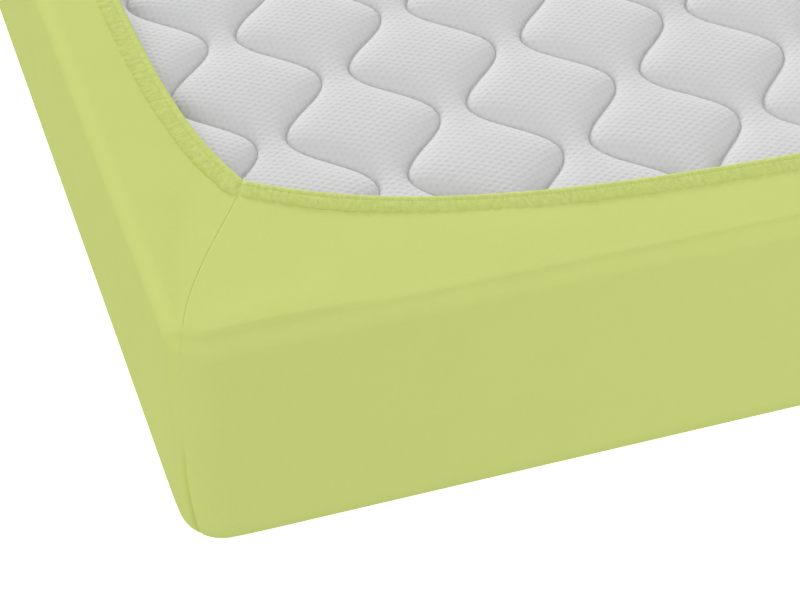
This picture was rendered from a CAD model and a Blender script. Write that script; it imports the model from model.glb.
"""A fitted sheet of lime green jersey, stretched over a quilted mattress that lies face down, so that the
sheet's elastic opening is on top. Metres, +X across the mattress, +Y along it, +Z up."""

import math

import bpy
import numpy as np
from mathutils import Matrix, Vector, noise


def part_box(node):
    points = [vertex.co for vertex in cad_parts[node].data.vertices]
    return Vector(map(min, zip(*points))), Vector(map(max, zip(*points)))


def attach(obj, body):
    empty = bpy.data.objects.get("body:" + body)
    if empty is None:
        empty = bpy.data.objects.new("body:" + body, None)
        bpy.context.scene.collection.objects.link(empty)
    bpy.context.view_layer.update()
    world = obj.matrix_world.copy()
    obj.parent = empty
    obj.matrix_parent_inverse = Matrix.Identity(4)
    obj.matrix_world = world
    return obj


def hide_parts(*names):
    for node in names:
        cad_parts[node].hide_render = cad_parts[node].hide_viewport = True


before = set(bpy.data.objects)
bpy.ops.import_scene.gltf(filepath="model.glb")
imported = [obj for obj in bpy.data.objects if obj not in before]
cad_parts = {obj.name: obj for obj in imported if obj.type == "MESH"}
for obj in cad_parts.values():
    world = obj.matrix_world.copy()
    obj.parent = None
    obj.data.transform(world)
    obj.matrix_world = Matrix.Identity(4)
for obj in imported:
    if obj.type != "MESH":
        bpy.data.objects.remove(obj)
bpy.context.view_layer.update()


# --- Mattress ---
# A foam block in a cover of white double knit with small dimples. The underside, which faces up here, is
# stitched through its wadding along wavy lines that close into ogee cells. The sides are plain.

MATTRESS_LOW, MATTRESS_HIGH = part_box("mattress")
MATTRESS_HALF = (MATTRESS_HIGH.x, MATTRESS_HIGH.y)
CROWN_HEIGHT = MATTRESS_HIGH.z
QUILT_MARGIN = 0.014  # from the mattress's side to the quilted field's border
QUILT_FADE = 0.03  # the grooves run out over this distance from the border
LINE_SPACING = 0.06415
LINE_COUNT = 13
FIRST_LINE = -0.37
WAVE_PERIOD = 0.1308
WAVE_AMPLITUDE = 0.0214
WAVE_PHASE = -0.8034  # where the even lines reach furthest towards +X
ROWS_PER_WAVE = 27
CELL_HEIGHT = 0.0062
CELL_REACH = 0.0104  # a cell rises from its grooves over this distance
STITCH_PINCH = 0.0024  # the narrow slit that the thread pulls in at the bottom of a groove
PINCH_REACH = 0.0012
COLUMNS = [  # columns of points beside a groove: at most this far away, and at most this share of the cell
    (0.0006, 0.03),
    (0.0017, 0.08),
    (0.0042, 0.15),
    (0.0085, 0.23),
    (0.016, 0.32),
    (0.028, 0.41),
]
PUCKER_HEIGHT = 0.00035  # small tucks where the thread gathers the knit
PUCKER_PITCH = 0.009
PUCKER_REACH = 0.008
PUCKER_START = 0.002  # they leave the thread itself in place
PUCKER_SEED = 1
SAG_HEIGHT = 0.0004  # slow unevenness of the wadding
SAG_PITCH = 0.05
SAG_SEED = 2
SEED_STEPS = (17.3, 5.1, 9.7)  # how far apart in the noise two seeds lie
PLAN_RADIUS = 0.032
TOP_RADIUS = 0.008
BOTTOM_RADIUS = 0.022
EDGE_STEPS = 4
MATTRESS_WHITE = (0.667, 0.667, 0.674)
DOT_PITCH = (0.0089, 0.0055)
DOT_RADIUS = 0.0021
DOT_DEPTH = 0.00036
DOT_RIM = 0.3  # how softly a dimple runs into the flat knit
DOT_STRAY = 0.22  # the rows of dimples wander over this share of their pitch
DOT_STRAY_SCALE = 60.0
FIBRE_DEPTH = 0.00006
FIBRE_SCALE = 1600.0
COVER_CLOUD_SCALE = 9.0
COVER_TONES = (1.02, 0.9)  # the lightest and the darkest, as shares of the white
DIMPLE_SHADE = 0.5
CLOUD_SHADE = 0.3


def smooth(share):
    """A share eased in and out between 0 and 1."""
    inside = np.clip(share, 0.0, 1.0)
    return inside * inside * (3 - 2 * inside)


def soft_noise(points, pitch, seed):
    """Slow unevenness from -1 to 1 at each point, with bumps about one pitch across."""
    offset = Vector([seed * step for step in SEED_STEPS])
    return np.array([noise.noise(Vector(point) / pitch + offset) for point in points])


def mesh_object(name, points, faces, material):
    mesh = bpy.data.meshes.new(name)
    mesh.from_pydata(points.tolist(), [], faces)
    mesh.shade_smooth()
    mesh.materials.append(material)
    made = bpy.data.objects.new(name, mesh)
    bpy.context.scene.collection.objects.link(made)
    return made


def give_points(piece, name, values):
    """A named value at each point, which the material reads."""
    attribute = piece.data.attributes.new(name, "FLOAT", "POINT")
    attribute.data.foreach_set("value", np.asarray(values, np.float32))


def grid_faces(first, row_length, rows, closed=False):
    """Faces between neighbouring rows of points, numbered row by row from first."""
    across = row_length if closed else row_length - 1
    row, place = np.meshgrid(np.arange(rows - 1), np.arange(across), indexing="ij")
    after = (place + 1) % row_length
    a = first + row * row_length + place
    b = first + row * row_length + after
    return np.stack([a, b, b + row_length, a + row_length], -1).reshape(-1, 4).tolist()


class Value:
    """A shader socket that takes part in sums: each operator adds the Math node that it stands for."""

    def __init__(self, tree, socket):
        self.tree = tree
        self.socket = socket

    def math(self, operation, *others):
        return math_node(self.tree, operation, self, *others)

    def __add__(self, other):
        return self.math("ADD", other)

    def __sub__(self, other):
        return self.math("SUBTRACT", other)

    def __mul__(self, other):
        return self.math("MULTIPLY", other)

    def __truediv__(self, other):
        return self.math("DIVIDE", other)

    def __pow__(self, other):
        return self.math("POWER", other)

    def __rsub__(self, other):
        return math_node(self.tree, "SUBTRACT", other, self)

    __radd__ = __add__
    __rmul__ = __mul__


def feed(tree, socket, value):
    """Gives a socket its value, or links it to the socket that value stands for."""
    if isinstance(value, Value):
        tree.links.new(value.socket, socket)
    else:
        socket.default_value = value


def math_node(tree, operation, *values):
    node = tree.nodes.new("ShaderNodeMath")
    node.operation = operation
    for socket, value in zip(node.inputs, values):
        feed(tree, socket, value)
    return Value(tree, node.outputs[0])


class Finish:
    """A material being made, with one method for any node that is not a sum."""

    def __init__(self, name, roughness, sheen=0.0, specular=0.25):
        self.material = bpy.data.materials.new(name)
        self.material.use_nodes = True
        self.tree = self.material.node_tree
        self.shader = self.tree.nodes["Principled BSDF"]
        self.shader.inputs["Roughness"].default_value = roughness
        self.shader.inputs["Sheen Weight"].default_value = sheen
        self.shader.inputs["Specular IOR Level"].default_value = specular

    def node(self, kind, settings, sockets, output):
        node = self.tree.nodes.new(kind)
        for name, setting in settings.items():
            setattr(node, name, setting)
        for name, value in sockets.items():
            feed(self.tree, node.inputs[name], value)
        return Value(self.tree, node.outputs[output])

    def speckle(self, place, scale, detail):
        """Cloudy noise from 0 to 1."""
        sockets = {"Vector": place, "Scale": scale, "Detail": detail}
        return self.node("ShaderNodeTexNoise", {}, sockets, "Fac")

    def parts(self, vector):
        """The X and Y of a vector socket."""
        split = self.tree.nodes.new("ShaderNodeSeparateXYZ")
        feed(self.tree, split.inputs[0], vector)
        return Value(self.tree, split.outputs[0]), Value(self.tree, split.outputs[1])

    def mix(self, share, first, second):
        """A colour between two others."""
        node = self.tree.nodes.new("ShaderNodeMix")
        node.data_type = "RGBA"
        # Each kind of data has its own pair of sockets, with the same names: these are the colours'.
        factor, first_socket, second_socket = (node.inputs[place] for place in (0, 6, 7))
        feed(self.tree, factor, share)
        feed(self.tree, first_socket, first)
        feed(self.tree, second_socket, second)
        return Value(self.tree, node.outputs[2])

    def bump(self, height, strength=1.0):
        """A normal for a relief whose height is in metres."""
        sockets = {"Height": height, "Distance": 1.0, "Strength": strength}
        return self.node("ShaderNodeBump", {}, sockets, "Normal")

    def set(self, name, value):
        feed(self.tree, self.shader.inputs[name], value)


def shade(colour, share):
    """A colour times a share, as a node socket takes it."""
    return tuple(part * share for part in colour[:3]) + (1.0,)


def knit_cover():
    finish = Finish("mattress_cover", roughness=0.88, sheen=0.12)
    place = finish.node("ShaderNodeTexCoord", {}, {}, "Object")
    stray = finish.speckle(place, DOT_STRAY_SCALE, detail=1.0) - 0.5
    x, y = finish.parts(place)
    x = x + stray * (DOT_PITCH[0] * DOT_STRAY)
    y = y + stray * (DOT_PITCH[1] * DOT_STRAY)

    def from_dot(shift):
        """Distance to the nearest dimple of one of the two crossed grids."""
        across = (x / DOT_PITCH[0] + shift).math("FRACT") - 0.5
        along = (y / DOT_PITCH[1] + shift).math("FRACT") - 0.5
        return ((across * DOT_PITCH[0]) ** 2 + (along * DOT_PITCH[1]) ** 2).math("SQRT")

    near = from_dot(0.0).math("MINIMUM", from_dot(0.5))
    net = (near / DOT_RADIUS).math("SMOOTH_MIN", 1.0, DOT_RIM)
    fibre = finish.speckle(place, FIBRE_SCALE, detail=2.0)
    finish.set("Normal", finish.bump(net * DOT_DEPTH + fibre * FIBRE_DEPTH))
    cloud = finish.speckle(place, COVER_CLOUD_SCALE, detail=2.0)
    light, dark = (shade(MATTRESS_WHITE, tone) for tone in COVER_TONES)
    finish.set("Base Color", finish.mix((1 - net) * DIMPLE_SHADE + cloud * CLOUD_SHADE, light, dark))
    return finish.material


def quilted_mattress():
    border_x = MATTRESS_HALF[0] - QUILT_MARGIN
    border_y = MATTRESS_HALF[1] - QUILT_MARGIN
    row_count = 1 + round(2 * border_y / WAVE_PERIOD * ROWS_PER_WAVE)
    y = np.linspace(-border_y, border_y, row_count)[:, None]
    turn = 2 * math.pi * (y - WAVE_PHASE) / WAVE_PERIOD
    line = np.arange(LINE_COUNT)[None, :]
    side = np.where(line % 2 == 0, 1.0, -1.0)
    line_x = FIRST_LINE + LINE_SPACING * line + side * WAVE_AMPLITUDE * np.cos(turn)
    line_lean = -side * WAVE_AMPLITUDE * 2 * math.pi / WAVE_PERIOD * np.sin(turn)
    edge = np.full_like(y, border_x)
    straight = np.zeros_like(y)
    stops = np.hstack([-edge, line_x, edge])
    leans = np.hstack([straight, line_lean, straight])

    columns = []
    for strip in range(LINE_COUNT + 1):
        left, right = stops[:, strip : strip + 1], stops[:, strip + 1 : strip + 2]
        lean_left, lean_right = leans[:, strip : strip + 1], leans[:, strip + 1 : strip + 2]
        width = right - left
        near = np.hstack([np.minimum(far, share * width) for far, share in COLUMNS])
        x = np.hstack([left, left + near, left + 0.5 * width, right - near[:, ::-1]])
        from_left = (x - left) / np.sqrt(1 + lean_left**2)
        from_right = (right - x) / np.sqrt(1 + lean_right**2)
        nearest = np.minimum(from_left, from_right)
        dome = (1 - np.exp(-from_left / CELL_REACH)) * (1 - np.exp(-from_right / CELL_REACH))
        drop = CELL_HEIGHT * (1 - dome) + STITCH_PINCH * np.exp(-nearest / PINCH_REACH)
        columns.append(np.stack([x, np.broadcast_to(y, x.shape), drop, nearest], -1))
    last = np.stack([edge, y, np.full_like(y, CELL_HEIGHT), straight], -1)
    field = np.concatenate([*columns, last], axis=1)
    rows, across = field.shape[:2]
    x, y, drop, nearest = (field[..., part] for part in range(4))
    flat_places = field[..., :2].reshape(-1, 2)
    places = [(px, py, 0.0) for px, py in flat_places]
    pucker = soft_noise(places, PUCKER_PITCH, PUCKER_SEED).reshape(rows, across)
    sag = soft_noise(places, SAG_PITCH, SAG_SEED).reshape(rows, across)
    drop = drop + PUCKER_HEIGHT * pucker * np.exp(-nearest / PUCKER_REACH) * smooth(nearest / PUCKER_START)
    drop = drop + SAG_HEIGHT * (sag + 1)
    fade = smooth(np.minimum(border_y - np.abs(y), border_x - np.abs(x)) / QUILT_FADE)
    top = np.stack([x, y, CROWN_HEIGHT - drop * fade], -1).reshape(-1, 3)
    faces = grid_faces(0, across, rows)

    # The border's points run counter-clockwise, and each ring below them keeps their number.
    number = np.arange(rows * across).reshape(rows, across)
    loop = np.concatenate([number[0, :-1], number[:-1, -1], number[-1, :0:-1], number[:0:-1, 0]])
    core = np.array([MATTRESS_HALF[0] - PLAN_RADIUS, MATTRESS_HALF[1] - PLAN_RADIUS])
    centre = np.clip(top[loop, :2], -core, core)
    outward = top[loop, :2] - centre
    outward = outward / np.linalg.norm(outward, axis=1)[:, None]

    def ring(inset, height):
        plan = centre + outward * (PLAN_RADIUS - inset)
        return np.column_stack([plan, np.full(len(loop), height)])

    quarter = np.linspace(0, math.pi / 2, EDGE_STEPS + 1)
    rings = [
        ring(TOP_RADIUS * (1 - math.sin(a)), CROWN_HEIGHT - TOP_RADIUS * (1 - math.cos(a))) for a in quarter
    ]
    bottom = MATTRESS_LOW.z
    rings += [
        ring(BOTTOM_RADIUS * (1 - math.cos(a)), bottom + BOTTOM_RADIUS * (1 - math.sin(a))) for a in quarter
    ]
    count = len(loop)
    first_ring = len(top)
    points = np.concatenate([top, *rings, [[0.0, 0.0, bottom]]])
    next_place = np.roll(np.arange(count), -1)
    for place in range(count):
        faces.append([int(loop[place]), first_ring + place, first_ring + int(next_place[place])])
        faces.append([int(loop[place]), first_ring + int(next_place[place]), int(loop[next_place[place]])])
    side_faces = np.array(grid_faces(first_ring, count, len(rings), closed=True))
    faces += side_faces[:, ::-1].tolist()
    under = len(points) - 1
    last_ring = under - count
    faces += [[under, last_ring + int(next_place[place]), last_ring + place] for place in range(count)]
    return mesh_object("quilted_mattress", points, faces, knit_cover())


mattress = quilted_mattress()
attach(mattress, "root")
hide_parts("mattress")


# --- Fitted sheet ---
# One piece of fine cotton jersey, cut with four mitred corners. Each corner is closed by a seam that runs
# over the flap and down the corner. The mattress stretches the sheet's walls and flap smooth.

SHEET_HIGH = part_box("fitted_sheet")[1]
SHEET_HALF = (SHEET_HIGH.x, SHEET_HIGH.y)
FLAP_TOP = 0.174
CLOTH = 0.001  # the cloth's thickness
CORNER_RADIUS = 0.028
FLOOR_RADIUS = 0.022
FLAP_RADIUS = 0.011
FOLD_START = FLAP_TOP - FLAP_RADIUS
HEM_WIDTH = 0.016
HEM_STATIONS = 6400
HEM_SMOOTHING = 0.01  # the hem's kink at a seam is rounded over this distance
# The flap's width at a wall's middle, how much wider it is at the seam and over what reach, and how far
# along the wall the corner still draws the flap's cloth on.
SIDE_OPENING = {"flap": 0.055, "rise": 0.0295, "reach": 0.0775, "spread": 0.3}
END_OPENING = {"flap": 0.0637, "rise": 0.0884, "reach": 0.1175, "spread": 0.15}
MM_PER_M = 1000
SIDE_PLACES = (0, 0.4, 0.9, 1.5, 2.2, 3.0, 3.9, 4.9, 6.0, 7.3, 9.0, 11.5, 14.5, 18, 22)  # mm from the seam
END_PLACES = (0, 0.4, 0.9, 1.5, 2.2, 3.1, 4.4, 6.4, 9.2, 12.8, 17, 22)
SIDE_STATIONS = 140
END_STATIONS = 66
STATION_GRADING = 1.25  # the stations lie wider apart away from the corners
CORNERS = ((1, 1), (-1, 1), (-1, -1), (1, -1))
WALL_ROWS = 22
FLOOR_STEPS = 9
FOLD_STEPS = 12
FOLD_DELAY = 3  # most of the seam's turn round the corner comes late in the fold
FLAP_SHARES = (0.02, 0.05, 0.09, 0.15, 0.22, 0.3, 0.4, 0.5, 0.6, 0.7, 0.8, 0.9, 1.0)
UNDER_HEM_BACK = 0.008  # under the hem the cloth runs on towards the opening's edge
UNDER_HEM_DROP = 0.0001
CLOTH_EDGE_BACK = 0.0012
INNER_FLAP_SHARE = 0.4  # the cloth's inner face is covered, so it has fewer rows
INNER_FOLD_STEPS = 4
INNER_HEIGHTS = (0.125, 0.1, 0.075, 0.055, 0.038)
INNER_FLOOR_STEPS = 3
SEAM_TURN = 0.0145  # the seam leaves the fold this far round the corner, towards the side wall
SEAM_BOW = 0.028  # on the flap it bows sideways
SEAM_BOW_POWER = 1.5  # the bow is fullest nearer the fold than the hem
SEAM_SLANT = 0.0041  # it meets the hem's foot this far towards the end wall
SEAM_REACH = 0.06  # the cloth beside the seam follows it less and less
SEAM_DEPTH = 0.0003
SEAM_HALF_WIDTH = 0.0005
SEAM_LIP = 0.00012  # the allowance folded under one side lifts it a little
SEAM_LIP_REACH = 0.006
SEAM_LIP_START = 0.001
TUCKS = ((0.096, 0.0032), (0.084, 0.0028), (0.104, 0.0034), (0.09, 0.003))  # height and depth at a corner
TUCK_TURN = 0.006  # the folded edge lies this far round the corner, towards the side wall
TUCK_TURN_TOP = 0.2
TUCK_TURN_FADE = 0.07
TUCK_LIP = 0.0008
TUCK_REACH = 0.0085
TUCK_FOOT = 0.024  # below this height the tuck runs out under the edge
CREASE_DEPTH = 0.00022  # the seam's faint line on the wall above the tuck
CREASE_FADE = 0.02
CORNER_PULL = 0.0018  # the cloth is drawn further under at the foot of each corner
CORNER_PULL_REACH = 0.024
CORNER_PULL_HEIGHT = 0.046
SEAM_SHADE = 0.2  # the layers in the seam and the tuck make the cloth a little deeper in colour
SEAM_SHADE_REACH = 0.0011
TUCK_SHADE_REACH = 0.0035
TUCK_SHADE_HEIGHT = 0.045
SOFT_FORMS = [  # corner, distance from the seam, share of the flap, height, and how far each reaches
    (2, -0.058, 0.1, 0.0013, 0.046, 0.2),
    (2, 0.046, 0.55, -0.0007, 0.034, 0.35),
    (2, -0.205, 0.6, 0.0008, 0.07, 0.4),
    (0, -0.07, 0.2, 0.0012, 0.052, 0.25),
    (0, 0.06, 0.4, 0.0009, 0.048, 0.4),
    (1, -0.052, 0.15, 0.0011, 0.044, 0.25),
    (1, 0.15, 0.5, 0.0008, 0.08, 0.4),
    (3, -0.064, 0.15, 0.0012, 0.05, 0.25),
    (3, 0.072, 0.5, -0.0006, 0.046, 0.35),
]
WALL_SWELL = 0.0005  # slow unevenness of the stretched walls
WALL_SWELL_PITCH = 0.14
WALL_SWELL_SEED = 3
SWELL_ABOVE_FLOOR = 0.06  # it fades out over this height above the floor
SWELL_BELOW_FOLD = 0.03
FLAP_SWELL = 0.00035
FLAP_SWELL_PITCH = 0.06
FLAP_SWELL_SEED = 4
FLAP_SWELL_START = 0.2  # it fades in over this share of the flap
LIME = (0.607, 0.684, 0.207)
DEEP_LIME = (0.525, 0.61, 0.15)  # where two or three layers lie on each other
MOTTLE_TONES = (0.965, 1.035)  # the darkest and the lightest, as shares of the lime
MOTTLE_SCALE = 26.0
WALE_PITCH = 0.0009
COURSE_PITCH = 0.0007
COURSE_SWAY = 1.2  # each course waves over and under the wales
KNIT_DEPTH = 0.00005
KNIT_BUMP = 0.5
FLECK_HEIGHT = 0.0002
FLECK_SCALE = 420.0
KNOT_HEIGHT = 0.0003  # the sewn hem is rougher than the single cloth, with small knots of thread
KNOT_SCALE = 400.0
KNOT_STRETCH = 0.45  # the knots are longer across the hem than along it
KNOT_CONTRAST = 2.2
KNOT_TONES = (0.92, 1.08)


def half_wall(half_length, opening, places, seam_along, steps):
    """From a corner's middle to the middle of a wall: distances round the wall, and the hem's places."""
    arc = np.array(places) / MM_PER_M
    run = (half_length - CORNER_RADIUS) * (np.arange(1, steps + 1) / steps) ** STATION_GRADING
    round_wall = np.concatenate([arc, arc[-1] + run])
    turn = math.pi / 4 - arc / CORNER_RADIUS
    along = np.concatenate([CORNER_RADIUS * (1 - np.sin(turn)), CORNER_RADIUS + run])
    seam_inset = CORNER_RADIUS * (1 - math.sqrt(0.5))
    end_share = math.exp(-(half_length - seam_inset) / opening["spread"])
    ahead = (np.exp(-(along - seam_inset) / opening["spread"]) - end_share) / (1 - end_share)
    hem_along = along + (seam_along - seam_inset) * ahead
    hem_own = opening["flap"] + opening["rise"] * np.exp(-(hem_along - seam_along) / opening["reach"])
    return round_wall, np.column_stack([hem_own, hem_along])


def wall_at(round_wall):
    """Distances from the side wall and the end wall on the outer face, and the way inwards."""
    arc = CORNER_RADIUS * math.pi / 4
    turn = math.pi / 4 - np.clip(round_wall, -arc, arc) / CORNER_RADIUS
    from_side = CORNER_RADIUS * (1 - np.cos(turn)) + np.maximum(0, -round_wall - arc)
    from_end = CORNER_RADIUS * (1 - np.sin(turn)) + np.maximum(0, round_wall - arc)
    return np.column_stack([from_side, from_end]), np.column_stack([np.cos(turn), np.sin(turn)])


def sheet_stations():
    """All stations counter-clockwise round the sheet, each with its corner and its places."""
    side_seam = END_OPENING["flap"] + END_OPENING["rise"]
    end_seam = SIDE_OPENING["flap"] + SIDE_OPENING["rise"]
    side_round, side_hem = half_wall(SHEET_HALF[1], SIDE_OPENING, SIDE_PLACES, side_seam, SIDE_STATIONS)
    end_round, end_hem = half_wall(SHEET_HALF[0], END_OPENING, END_PLACES, end_seam, END_STATIONS)
    round_wall = np.concatenate([-end_round[:0:-1], side_round])
    hem = np.concatenate([end_hem[:0:-1, ::-1], side_hem])
    found = {"round": [], "hem": [], "corner": [], "sign": []}
    for corner, sign in enumerate(CORNERS):
        order = slice(None, None, -1) if sign[0] * sign[1] > 0 else slice(None)
        count = len(round_wall) - 1  # the next corner starts with the same middle of a wall
        found["round"].append(round_wall[order][:count])
        found["hem"].append((np.array(sign) * (np.array(SHEET_HALF) - hem))[order][:count])
        found["corner"].append(np.full(count, corner))
        found["sign"].append(np.tile(sign, (count, 1)))
    return {key: np.concatenate(values) for key, values in found.items()}


class HemLine:
    """The opening's edge, counter-clockwise, as evenly spaced points with the way outwards at each."""

    def __init__(self, hem, seam_places, seam_signs):
        closed = np.vstack([hem, hem[:1]])
        run = np.concatenate([[0.0], np.cumsum(np.linalg.norm(np.diff(closed, axis=0), axis=1))])
        self.length = run[-1]
        self.station_along = run[:-1]
        self.along = np.arange(HEM_STATIONS) * self.length / HEM_STATIONS
        self.path = np.column_stack([np.interp(self.along, run, closed[:, part]) for part in (0, 1)])
        window = round(HEM_SMOOTHING / self.length * HEM_STATIONS)
        tangent = np.roll(self.path, -window, axis=0) - np.roll(self.path, window, axis=0)
        tangent = tangent / np.linalg.norm(tangent, axis=1)[:, None]
        self.outward = np.column_stack([tangent[:, 1], -tangent[:, 0]])
        gap = (self.along[:, None] - run[seam_places] + self.length / 2) % self.length - self.length / 2
        nearest = np.argmin(np.abs(gap), axis=1)
        self.past_seam = gap[np.arange(HEM_STATIONS), nearest]
        self.end_way = seam_signs[nearest]

    def at(self, values, along):
        """Values of the evenly spaced points at any distances along the line."""
        ring = np.concatenate([values, values[:1]])
        ends = np.concatenate([self.along, [self.length]])
        if ring.ndim == 1:
            return np.interp(along % self.length, ends, ring)
        return np.column_stack([np.interp(along % self.length, ends, part) for part in ring.T])

    def beside(self, along, back):
        """Places on the flap at distances back from the opening's edge."""
        return self.at(self.path, along) + self.at(self.outward, along) * np.reshape(back, (-1, 1))


stations = sheet_stations()
near_seam = np.exp(-((stations["round"] / SEAM_REACH) ** 2))
end_way = stations["sign"][:, 0] * stations["sign"][:, 1]  # +1 where going on round leads to the end wall
seam_places = np.flatnonzero(stations["round"] == 0)
hem_line = HemLine(stations["hem"], seam_places, end_way[seam_places])


def placed_wall(shift):
    """Places on the outer face and the way inwards, with the seam drawn round the corner by a shift."""
    place, inward = wall_at(stations["round"] + shift * near_seam)
    return stations["sign"] * (np.array(SHEET_HALF) - place), -stations["sign"] * inward


def tuck_turn(height):
    """How far round the corner the tuck's folded edge lies at a height."""
    return TUCK_TURN * smooth(height / TUCK_TURN_FADE) * smooth((TUCK_TURN_TOP - height) / TUCK_TURN_FADE)


def tuck(height):
    """How far the spare cloth under each seam is drawn in at a height, folded over along one edge."""
    tall, deep = np.array(TUCKS)[stations["corner"]].T
    inside = smooth(stations["round"] / TUCK_LIP + 0.5) * (1 - smooth(stations["round"] / TUCK_REACH))
    crease = CREASE_DEPTH * smooth((FLAP_TOP - height) / CREASE_FADE)
    return (deep * smooth(1 - height / tall) + crease) * inside * smooth(height / TUCK_FOOT)


def wall_row(inset, height, turn=None):
    """One ring of points round the wall, or round the curve under it or over it."""
    plan, inward = placed_wall(tuck_turn(height) if turn is None else turn)
    places = [(x, y, height) for x, y in plan]
    level = smooth(height / SWELL_ABOVE_FLOOR) * smooth((FLAP_TOP - height) / SWELL_BELOW_FOLD)
    drawn_in = tuck(height) + WALL_SWELL * level * soft_noise(places, WALL_SWELL_PITCH, WALL_SWELL_SEED)
    at_corner = np.exp(-((stations["round"] / CORNER_PULL_REACH) ** 2))
    drawn_in += CORNER_PULL * at_corner * smooth(1 - height / CORNER_PULL_HEIGHT)
    return np.column_stack([plan + inward * (inset + drawn_in)[:, None], np.full(len(plan), height)])


def seam_relief(plan):
    """The narrow valley of the mitre seam, and the low lip on its end-wall side."""
    seam_at = seam_places[stations["corner"]]
    away = np.linalg.norm(plan - plan[seam_at], axis=1)
    valley = SEAM_DEPTH * np.exp(-((away / SEAM_HALF_WIDTH) ** 2))
    lip = SEAM_LIP * np.exp(-away / SEAM_LIP_REACH) * smooth(away / SEAM_LIP_START)
    return lip * (stations["round"] < 0) - valley


def flap_row(share, height, outside=True):
    """One ring of points over the flap, at a share of the way from the fold to the hem's foot."""
    wall, inward = placed_wall(SEAM_TURN)
    fold = wall + inward * FLAP_RADIUS
    foot = hem_line.beside(hem_line.station_along + SEAM_SLANT * end_way * near_seam, HEM_WIDTH)
    bow = SEAM_BOW * share * (1 - share) ** SEAM_BOW_POWER * near_seam * stations["sign"][:, 0]
    plan = fold + (foot - fold) * share + np.column_stack([bow, np.zeros(len(bow))])
    rise = np.zeros(len(plan))
    if outside:
        for corner, along, place, lift, reach_along, reach_share in SOFT_FORMS:
            near = ((stations["round"] - along) / reach_along) ** 2 + ((share - place) / reach_share) ** 2
            rise += lift * np.exp(-near) * (stations["corner"] == corner)
        rise += seam_relief(plan)
        places = [(x, y, 0.0) for x, y in plan]
        swell = soft_noise(places, FLAP_SWELL_PITCH, FLAP_SWELL_SEED)
        rise += FLAP_SWELL * smooth(share / FLAP_SWELL_START) * swell
    return np.column_stack([plan, height + rise])


def under_hem_row(back, height):
    """One ring of points under the hem, at a distance back from the opening's edge."""
    slant = SEAM_SLANT * back / HEM_WIDTH * end_way * near_seam
    plan = hem_line.beside(hem_line.station_along + slant, back)
    return np.column_stack([plan, np.full(len(plan), height)])


def jersey():
    finish = Finish("lime_jersey", roughness=0.95, specular=0.06)
    across, along = finish.parts(finish.node("ShaderNodeUVMap", {"uv_map": "cut"}, {}, "UV"))
    layers = finish.node("ShaderNodeAttribute", {"attribute_name": "layers"}, {}, "Fac")
    sewn = finish.node("ShaderNodeAttribute", {"attribute_name": "sewn"}, {}, "Fac")
    place = finish.node("ShaderNodeTexCoord", {}, {}, "Object")
    wale = (across * (2 * math.pi / WALE_PITCH)).math("SINE")
    course = (along * (2 * math.pi / COURSE_PITCH) + wale * COURSE_SWAY).math("SINE")
    loops = wale * 0.5 + course * 0.5
    fleck = finish.speckle(place, FLECK_SCALE, detail=3.0)
    relief = loops * KNIT_DEPTH + fleck * (sewn * KNOT_HEIGHT + FLECK_HEIGHT)
    finish.set("Normal", finish.bump(relief, KNIT_BUMP))
    cloud = finish.speckle(place, MOTTLE_SCALE, detail=3.0)
    mottle = finish.mix((cloud + fleck) * 0.5, *(shade(LIME, tone) for tone in MOTTLE_TONES))
    on_hem = finish.node("ShaderNodeCombineXYZ", {}, {"X": across, "Y": along * KNOT_STRETCH}, "Vector")
    knot = (finish.speckle(on_hem, KNOT_SCALE, detail=1.0) - 0.5) * KNOT_CONTRAST + 0.5
    knots = finish.mix(knot, *(shade(LIME, tone) for tone in KNOT_TONES))
    finish.set("Base Color", finish.mix(layers, finish.mix(sewn, mottle, knots), shade(DEEP_LIME, 1.0)))
    return finish.material


jersey_finish = jersey()


def floor_edge(radius, steps):
    """The rings of the curve between the sleeping panel and the walls."""
    turns = np.linspace(0, math.pi / 2, steps + 1)
    return [
        wall_row(FLOOR_RADIUS - radius * math.sin(turn), FLOOR_RADIUS - radius * math.cos(turn))
        for turn in turns
    ]


def fold_edge(radius, steps):
    """The rings of the curve between the walls and the flap."""
    low = tuck_turn(FOLD_START)
    return [
        wall_row(
            FLAP_RADIUS - radius * math.cos(share * math.pi / 2),
            FOLD_START + radius * math.sin(share * math.pi / 2),
            low + (SEAM_TURN - low) * share**FOLD_DELAY,
        )
        for share in np.linspace(0, 1, steps + 1)
    ]


def flat_cut(rings, corners):
    """Every face corner's place in the flat cut, measured over the side walls or over the end walls."""
    count = rings.shape[1]
    steps = np.linalg.norm(np.diff(rings, axis=0), axis=2)
    run = np.concatenate([np.zeros((1, count)), np.cumsum(steps, axis=0)])
    out_x = stations["sign"][:, 0] * (SHEET_HALF[0] - FLOOR_RADIUS + run)
    out_y = stations["sign"][:, 1] * (SHEET_HALF[1] - FLOOR_RADIUS + run)
    middles = np.zeros((2, 2))
    side_cut = np.concatenate([np.stack([out_x, rings[..., 1]], -1).reshape(-1, 2), middles])
    end_cut = np.concatenate([np.stack([rings[..., 0], out_y], -1).reshape(-1, 2), middles])
    on_side = (stations["round"] + np.roll(stations["round"], -1)) > 0
    of_quads = np.repeat(np.tile(on_side, len(rings) - 1), 4)
    of_middles = np.repeat(np.repeat(on_side, 2), 3)
    of_side = np.concatenate([of_quads, of_middles])
    return np.where(of_side[:, None], side_cut[corners], end_cut[corners])


def fold_layers(heights):
    """How far the layers in the seam and in the tuck deepen the colour at each point."""
    tuck_tall = np.array([tall for tall, _deep in TUCKS])[stations["corner"]]
    at_seam = np.exp(-((stations["round"] / SEAM_SHADE_REACH) ** 2))
    in_tuck = np.exp(-((stations["round"] / TUCK_SHADE_REACH) ** 2))
    in_tuck *= smooth(stations["round"] / TUCK_LIP + 0.5)
    seam = SEAM_SHADE * at_seam * (heights > FOLD_START)
    return seam + in_tuck * smooth((tuck_tall - heights) / TUCK_SHADE_HEIGHT)


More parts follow.
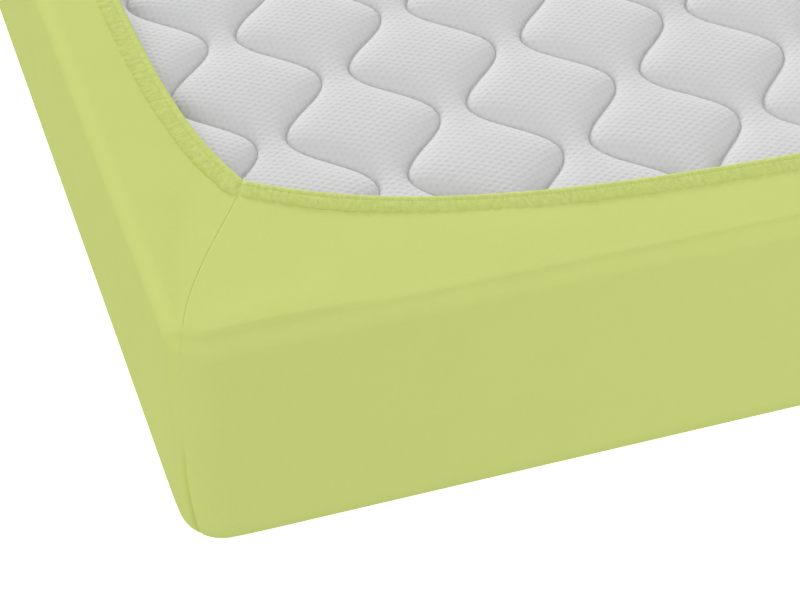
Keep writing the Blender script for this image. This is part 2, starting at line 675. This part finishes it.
def fitted_sheet():
    wall_heights = np.linspace(FLOOR_RADIUS, FOLD_START, WALL_ROWS + 2)[1:-1]
    rows = [
        *floor_edge(FLOOR_RADIUS, FLOOR_STEPS),
        *[wall_row(0.0, height) for height in wall_heights],
        *fold_edge(FLAP_RADIUS, FOLD_STEPS),
        *[flap_row(share, FLAP_TOP) for share in FLAP_SHARES],
        under_hem_row(UNDER_HEM_BACK, FLAP_TOP - UNDER_HEM_DROP),
        under_hem_row(CLOTH_EDGE_BACK, FLAP_TOP - CLOTH / 2),
        flap_row(1.0, FLAP_TOP - CLOTH, outside=False),
        flap_row(INNER_FLAP_SHARE, FLAP_TOP - CLOTH, outside=False),
        *fold_edge(FLAP_RADIUS - CLOTH, INNER_FOLD_STEPS)[::-1],
        *[wall_row(CLOTH, height) for height in INNER_HEIGHTS],
        *floor_edge(FLOOR_RADIUS - CLOTH, INNER_FLOOR_STEPS)[::-1],
    ]
    rings = np.array(rows)
    count = rings.shape[1]
    middles = [[0, 0, 0], [0, 0, CLOTH]]  # of the panel's two faces
    points = np.concatenate([rings.reshape(-1, 3), middles])
    under, inner = len(points) - 2, len(points) - 1
    last_ring = under - count
    faces = grid_faces(0, count, len(rings), closed=True)
    for place in range(count):
        after = (place + 1) % count
        faces.append([under, after, place])
        faces.append([inner, last_ring + place, last_ring + after])
    sheet = mesh_object("fitted_sheet_jersey", points, faces, jersey_finish)
    corners = np.zeros(len(sheet.data.loops), int)
    sheet.data.loops.foreach_get("vertex_index", corners)
    cut = sheet.data.uv_layers.new(name="cut")
    cut.data.foreach_set("uv", flat_cut(rings, corners).astype(np.float32).ravel())
    give_points(sheet, "layers", np.append(fold_layers(rings[..., 2]), np.zeros(len(middles))))
    give_points(sheet, "sewn", np.zeros(len(points)))
    return sheet


sheet = fitted_sheet()
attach(sheet, "root")
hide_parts("fitted_sheet")


# --- Hem ---
# The edge of the cloth is turned over a flat elastic. The elastic draws the band up into short uneven
# gathers, and the turned layer's raw edge lies on the flap in small scallops.

# Distance back from the opening's edge and height above the flap in mm, then the shares of gathers and of
# lower layers that show through.
HEM_UPPER = [
    (16.6, -0.3, 0.5, 1.0),
    (15.7, 0.5, 0.8, 0.9),
    (13.6, 1.1, 1.0, 0.3),
    (10.6, 1.5, 1.0, 0.15),
    (8.2, 1.8, 0.9, 0.15),
    (6.4, 1.95, 0.6, 0.2),
    (5.6, 1.8, 0.4, 0.35),
    (4.8, 2.1, 0.5, 0.15),
    (3.2, 2.4, 0.45, 0.1),
    (1.6, 2.1, 0.25, 0.0),
    (0.4, 1.1, 0.1, 0.0),
    (0.0, 0.0, 0.0, 0.0),
]
HEM_UNDER = [
    (0.8, -1.2, 0.0, 0.2),
    (3.0, -1.9, 0.0, 0.5),
    (14.0, -1.9, 0.0, 0.5),
]
STEP_WIDTHS = (0.55, 0.9)  # the narrowest gather as a share of the mean one, and how much wider they come
STEP_HEIGHTS = (0.45, 0.55)
GATHER_WIDTH = 0.0036
GATHER_HEIGHT = 0.00025
GATHER_LEVEL = 0.6  # the share of a gather's height that lies at the band's own level
GATHER_SEED = 11
GATHER_SLANT = 0.55  # the gathers lean away from a corner as they near the opening
SLANT_START = 0.02
SLANT_REACH = 0.35
SCALLOP_WIDTH = 0.0088
SCALLOP_HEIGHT = 0.00035
SCALLOP_LEVEL = 0.5
SCALLOP_SEED = 12
SCALLOP_SLANT = 0.5  # they lean by this share of the gathers' slant
SCALLOP_REACH = 0.0012  # how far the raw edge moves out and in with them
SCALLOP_BACK = 0.008  # this far back from the opening they start to show in the edge
SCALLOP_FADE = 0.008
PLAIN_BESIDE_SEAM = 0.007  # the band is smooth where the corner seam's allowance fills it
PLAIN_SHARE = 0.3  # and wholly plain over this share of that distance
NIP_DEPTH = 0.0008  # the corner seam nips the band in
NIP_HALF_WIDTH = 0.0016
LAYER_PITCH = 0.004  # the lower layers show through unevenly
LAYER_LEVEL = 0.75
LAYER_SPREAD = 0.6
LAYER_SEED = 5


def random_steps(mean, seed):
    """Borders of uneven steps along the hem, and a height for each step."""
    chance = np.random.default_rng(seed)
    widths = mean * (STEP_WIDTHS[0] + STEP_WIDTHS[1] * chance.random(round(hem_line.length / mean)))
    borders = np.concatenate([[0.0], np.cumsum(widths)]) * hem_line.length / widths.sum()
    return borders, STEP_HEIGHTS[0] + STEP_HEIGHTS[1] * chance.random(len(widths))


gathers = random_steps(GATHER_WIDTH, GATHER_SEED)
scallops = random_steps(SCALLOP_WIDTH, SCALLOP_SEED)


def waves(steps, along):
    """Rounded crests with a sharp valley at each border."""
    borders, heights = steps
    along = along % hem_line.length
    step = np.clip(np.searchsorted(borders, along, side="right") - 1, 0, len(heights) - 1)
    share = (along - borders[step]) / (borders[step + 1] - borders[step])
    return heights[step] * np.sqrt(np.clip(1 - (2 * share - 1) ** 2, 0, 1))


def on_band(along, back, lift, gathered):
    """Places on the gathered band, at distances along the hem and back from its edge, and at a height."""
    past = hem_line.at(hem_line.past_seam, along)
    end_way_here = hem_line.at(hem_line.end_way, along)
    past = past - SEAM_SLANT * end_way_here * back / HEM_WIDTH
    away = np.abs(past)
    lean = -np.sign(past) * GATHER_SLANT * np.exp(-away / SLANT_REACH) * smooth(away / SLANT_START)
    plain = smooth(away / PLAIN_BESIDE_SEAM - PLAIN_SHARE)
    crest = waves(gathers, along + lean * back) - GATHER_LEVEL
    scallop = waves(scallops, along + SCALLOP_SLANT * lean * back) - SCALLOP_LEVEL
    rise = lift + gathered * plain * (GATHER_HEIGHT * crest + SCALLOP_HEIGHT * scallop)
    rise = rise - np.exp(-((past / NIP_HALF_WIDTH) ** 2)) * NIP_DEPTH * (lift > 0)
    edge = smooth((back - SCALLOP_BACK) / SCALLOP_FADE)
    reach = back + edge * plain * SCALLOP_REACH * scallop
    return np.column_stack([hem_line.beside(along, reach), FLAP_TOP + rise])


def hem_band():
    backs, lifts, gathered, layers = np.array(HEM_UPPER + HEM_UNDER).T
    backs, lifts = backs / MM_PER_M, lifts / MM_PER_M
    everywhere = np.ones(HEM_STATIONS)
    rows = [
        on_band(hem_line.along, back * everywhere, lift * everywhere, share)
        for back, lift, share in zip(backs, lifts, gathered)
    ]
    points = np.stack(rows, axis=1).reshape(-1, 3)
    across = len(rows)
    ring, place = np.meshgrid(np.arange(HEM_STATIONS), np.arange(across), indexing="ij")
    ring_after, place_after = (ring + 1) % HEM_STATIONS, (place + 1) % across
    corners = [
        ring * across + place,
        ring_after * across + place,
        ring_after * across + place_after,
        ring * across + place_after,
    ]
    faces = np.stack(corners, -1).reshape(-1, 4)
    band = mesh_object("hem_band", points, faces.tolist(), jersey_finish)
    flat_places = np.stack([ring * hem_line.length / HEM_STATIONS, backs[place]], -1).reshape(-1, 2)
    cut = band.data.uv_layers.new(name="cut")
    cut.data.foreach_set("uv", flat_places[faces.ravel()].astype(np.float32).ravel())
    uneven = LAYER_LEVEL + LAYER_SPREAD * soft_noise(points, LAYER_PITCH, LAYER_SEED)
    give_points(band, "layers", np.tile(layers, HEM_STATIONS) * uneven)
    give_points(band, "sewn", np.tile(layers, HEM_STATIONS) > 0)
    return band


hem = hem_band()
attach(hem, "root")
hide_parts("fitted_sheet")


# --- Hem stitches ---
# Cotton thread in the cloth's colour. One row of needle stitches holds the hem down, and beside it an
# overlocked row of slanting threads keeps the raw edge from fraying. Both are pulled flat into the jersey.

NEEDLE_BACK = 0.0056
NEEDLE_POINTS = 5
NEEDLE_ARCH = 2.2  # a stitch rises and dips by these many radii of its thread
NEEDLE_SINK = 0.6
NEEDLE_GATHERED = 0.4
STITCH_PITCH = 0.0026
STITCH_LENGTH = 0.0017
STITCH_SEED = 13
THREAD_RADIUS = 0.00017
THREAD_SIDES = 4
OVERLOCK_PLACES = (0.0062, 0.0085, 0.0108, 0.0131, 0.0153)
OVERLOCK_LEAN = 0.0011
OVERLOCK_LEANS = (0.6, 0.8)  # the least share of that lean, and how much more it comes
OVERLOCK_SINK = 0.2
OVERLOCK_GATHERED = ((0.0064, 0.0106), (0.6, 1.0))  # the band's share of gathers between two places
THREAD_LIME = (0.64, 0.71, 0.245)


def profile_lift(back):
    """Height of the band's upper side at a distance from the opening's edge."""
    backs, lifts, *_shares = np.array(HEM_UPPER[::-1]).T
    return np.interp(back, backs / MM_PER_M, lifts / MM_PER_M)


def thread_tree(material):
    """Geometry nodes that give each short path the round shape of a thread."""
    tree = bpy.data.node_groups.new("thread", "GeometryNodeTree")
    tree.interface.new_socket("Geometry", in_out="INPUT", socket_type="NodeSocketGeometry")
    tree.interface.new_socket("Radius", in_out="INPUT", socket_type="NodeSocketFloat")
    tree.interface.new_socket("Sides", in_out="INPUT", socket_type="NodeSocketInt")
    tree.interface.new_socket("Geometry", in_out="OUTPUT", socket_type="NodeSocketGeometry")
    node = tree.nodes.new
    given, made = node("NodeGroupInput"), node("NodeGroupOutput")
    paths = node("GeometryNodeMeshToCurve")
    circle = node("GeometryNodeCurvePrimitiveCircle")
    sweep = node("GeometryNodeCurveToMesh")
    sweep.inputs["Fill Caps"].default_value = True
    real = node("GeometryNodeRealizeInstances")
    finish = node("GeometryNodeSetMaterial")
    finish.inputs["Material"].default_value = material
    tree.links.new(given.outputs["Geometry"], paths.inputs["Mesh"])
    tree.links.new(given.outputs["Radius"], circle.inputs["Radius"])
    tree.links.new(given.outputs["Sides"], circle.inputs["Resolution"])
    tree.links.new(paths.outputs["Curve"], sweep.inputs["Curve"])
    tree.links.new(circle.outputs["Curve"], sweep.inputs["Profile Curve"])
    tree.links.new(sweep.outputs["Mesh"], real.inputs["Geometry"])
    tree.links.new(real.outputs["Geometry"], finish.inputs["Geometry"])
    tree.links.new(finish.outputs["Geometry"], made.inputs["Geometry"])
    return tree


def thread_piece(name, paths, radius, sides, material):
    """A piece of many short threads, one along each row of points."""
    count, length = paths.shape[:2]
    edges = [(row * length + k, row * length + k + 1) for row in range(count) for k in range(length - 1)]
    mesh = bpy.data.meshes.new(name + "_paths")
    mesh.from_pydata(paths.reshape(-1, 3).tolist(), edges, [])
    source = bpy.data.objects.new(name + "_paths", mesh)
    bpy.context.scene.collection.objects.link(source)
    tree = thread_tree(material)
    modifier = source.modifiers.new("thread", "NODES")
    modifier.node_group = tree
    sizes = {"Radius": radius, "Sides": sides}
    for item in tree.interface.items_tree:
        if item.in_out == "INPUT" and item.name in sizes:
            modifier[item.identifier] = sizes[item.name]
    graph = bpy.context.evaluated_depsgraph_get()
    plain = bpy.data.meshes.new_from_object(source.evaluated_get(graph))
    plain.name = name
    piece = bpy.data.objects.new(name, plain)
    bpy.context.scene.collection.objects.link(piece)
    source.modifiers.remove(modifier)
    bpy.data.objects.remove(source)
    plain.shade_smooth()
    return piece


def thread_finish():
    finish = Finish("hem_thread", roughness=0.7, sheen=0.1)
    finish.set("Base Color", shade(THREAD_LIME, 1.0))
    return finish.material


def hem_stitches():
    count = round(hem_line.length / STITCH_PITCH)
    start = np.arange(count) * hem_line.length / count
    chance = np.random.default_rng(STITCH_SEED)
    paths = []
    for share in np.linspace(0, 1, NEEDLE_POINTS):
        along = start + STITCH_LENGTH * share
        back = np.full(count, NEEDLE_BACK)
        arch = THREAD_RADIUS * (NEEDLE_ARCH * math.sin(math.pi * share) - NEEDLE_SINK)
        paths.append(on_band(along, back, profile_lift(back) + arch, NEEDLE_GATHERED))
    needle = np.stack(paths, axis=1)
    lean = OVERLOCK_LEAN * (OVERLOCK_LEANS[0] + OVERLOCK_LEANS[1] * chance.random(count))
    paths = []
    for place, distance in enumerate(OVERLOCK_PLACES):
        back = np.full(count, distance)
        gathered = np.interp(distance, *OVERLOCK_GATHERED)
        lift = profile_lift(back) - THREAD_RADIUS * OVERLOCK_SINK
        paths.append(on_band(start + lean * place, back, lift, gathered))
    overlock = np.stack(paths, axis=1)
    both = np.concatenate([needle, overlock])
    return thread_piece("hem_stitches", both, THREAD_RADIUS, THREAD_SIDES, thread_finish())


stitches = hem_stitches()
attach(stitches, "root")
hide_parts("fitted_sheet")


# --- Studio ---
# A white floor under soft white light from all round. A low lamp stands straight behind, a broad fill on the
# left and a faint one above. A low soft box in front on the right brightens that side of the end wall.

WORLD_LIGHT = 0.748
KEY_STRENGTH = 1.8
KEY_ELEVATION = 10
KEY_HEADING = 0  # degrees from +Y towards -X
KEY_ANGLE = 8
FILL_STRENGTH = 0.56
FILL_ELEVATION = 20
FILL_HEADING = 115
FILL_ANGLE = 60
TOP_STRENGTH = 0.14
TOP_ELEVATION = 90
TOP_HEADING = 0
TOP_ANGLE = 80
NEAR_LAMP_PLACE = (0.7, -1.9, 0.25)
NEAR_LAMP_AIM = (-0.1, -1.0, 0.06)
NEAR_LAMP_SIZE = 0.8
NEAR_LAMP_POWER = 2.3
FLOOR_HALF = 60.0
FLOOR_DROP = 0.0004
FLOOR_GLOW = 0.75
FLOOR_TONE = 0.9
CAMERA_PLACE = (-0.6344, -1.9656, 1.0264)
CAMERA_AZIMUTH = -18.41
CAMERA_ELEVATION = 39.84
CAMERA_ROLL = 0.16
CAMERA_LENS = 99.32  # mm, on a sensor of the width below
SENSOR_WIDTH = 36.0
CLIP_START = 0.05
CLIP_END = 200.0


def sun(name, strength, elevation, heading, angle):
    """A lamp far away. The heading turns from +Y towards -X, to where the lamp stands."""
    light = bpy.data.lights.new(name, "SUN")
    light.energy = strength
    light.angle = math.radians(angle)
    lamp = bpy.data.objects.new(name, light)
    turn = Matrix.Rotation(math.radians(heading), 4, "Z")
    lamp.matrix_world = turn @ Matrix.Rotation(math.radians(elevation - 90), 4, "X")
    bpy.context.scene.collection.objects.link(lamp)


def near_lamp():
    """The low soft box in front on the right."""
    light = bpy.data.lights.new("near_lamp", "AREA")
    light.energy = NEAR_LAMP_POWER
    light.size = NEAR_LAMP_SIZE
    lamp = bpy.data.objects.new("near_lamp", light)
    turn = (Vector(NEAR_LAMP_AIM) - Vector(NEAR_LAMP_PLACE)).to_track_quat("-Z", "Y")
    lamp.matrix_world = Matrix.Translation(NEAR_LAMP_PLACE) @ turn.to_matrix().to_4x4()
    lamp.visible_camera = False
    bpy.context.scene.collection.objects.link(lamp)


def floor():
    corners = [(x, y, -FLOOR_DROP) for x, y in ((-1, -1), (1, -1), (1, 1), (-1, 1))]
    points = np.array([(x * FLOOR_HALF, y * FLOOR_HALF, z) for x, y, z in corners])
    finish = Finish("floor", roughness=1.0)
    finish.set("Base Color", (FLOOR_TONE, FLOOR_TONE, FLOOR_TONE, 1.0))
    finish.set("Emission Color", (1.0, 1.0, 1.0, 1.0))
    finish.set("Emission Strength", FLOOR_GLOW)
    ground = mesh_object("floor", points, [[0, 1, 2, 3]], finish.material)
    ground.visible_diffuse = False
    ground.visible_glossy = False


def camera():
    lens = bpy.data.cameras.new("camera")
    lens.lens = CAMERA_LENS
    lens.sensor_width = SENSOR_WIDTH
    lens.clip_start = CLIP_START
    lens.clip_end = CLIP_END
    eye = bpy.data.objects.new("camera", lens)
    turn = Matrix.Rotation(math.radians(CAMERA_AZIMUTH), 4, "Z")
    turn = turn @ Matrix.Rotation(math.radians(90 - CAMERA_ELEVATION), 4, "X")
    turn = turn @ Matrix.Rotation(math.radians(CAMERA_ROLL), 4, "Z")
    eye.matrix_world = Matrix.Translation(CAMERA_PLACE) @ turn
    bpy.context.scene.collection.objects.link(eye)
    bpy.context.scene.camera = eye


floor()
sun("key", KEY_STRENGTH, KEY_ELEVATION, KEY_HEADING, KEY_ANGLE)
sun("fill", FILL_STRENGTH, FILL_ELEVATION, FILL_HEADING, FILL_ANGLE)
sun("top", TOP_STRENGTH, TOP_ELEVATION, TOP_HEADING, TOP_ANGLE)
near_lamp()
world = bpy.data.worlds.new("studio")
world.use_nodes = True
world.node_tree.nodes["Background"].inputs["Color"].default_value = (1, 1, 1, 1)
world.node_tree.nodes["Background"].inputs["Strength"].default_value = WORLD_LIGHT
bpy.context.scene.world = world
bpy.context.scene.view_settings.view_transform = "Standard"
camera()
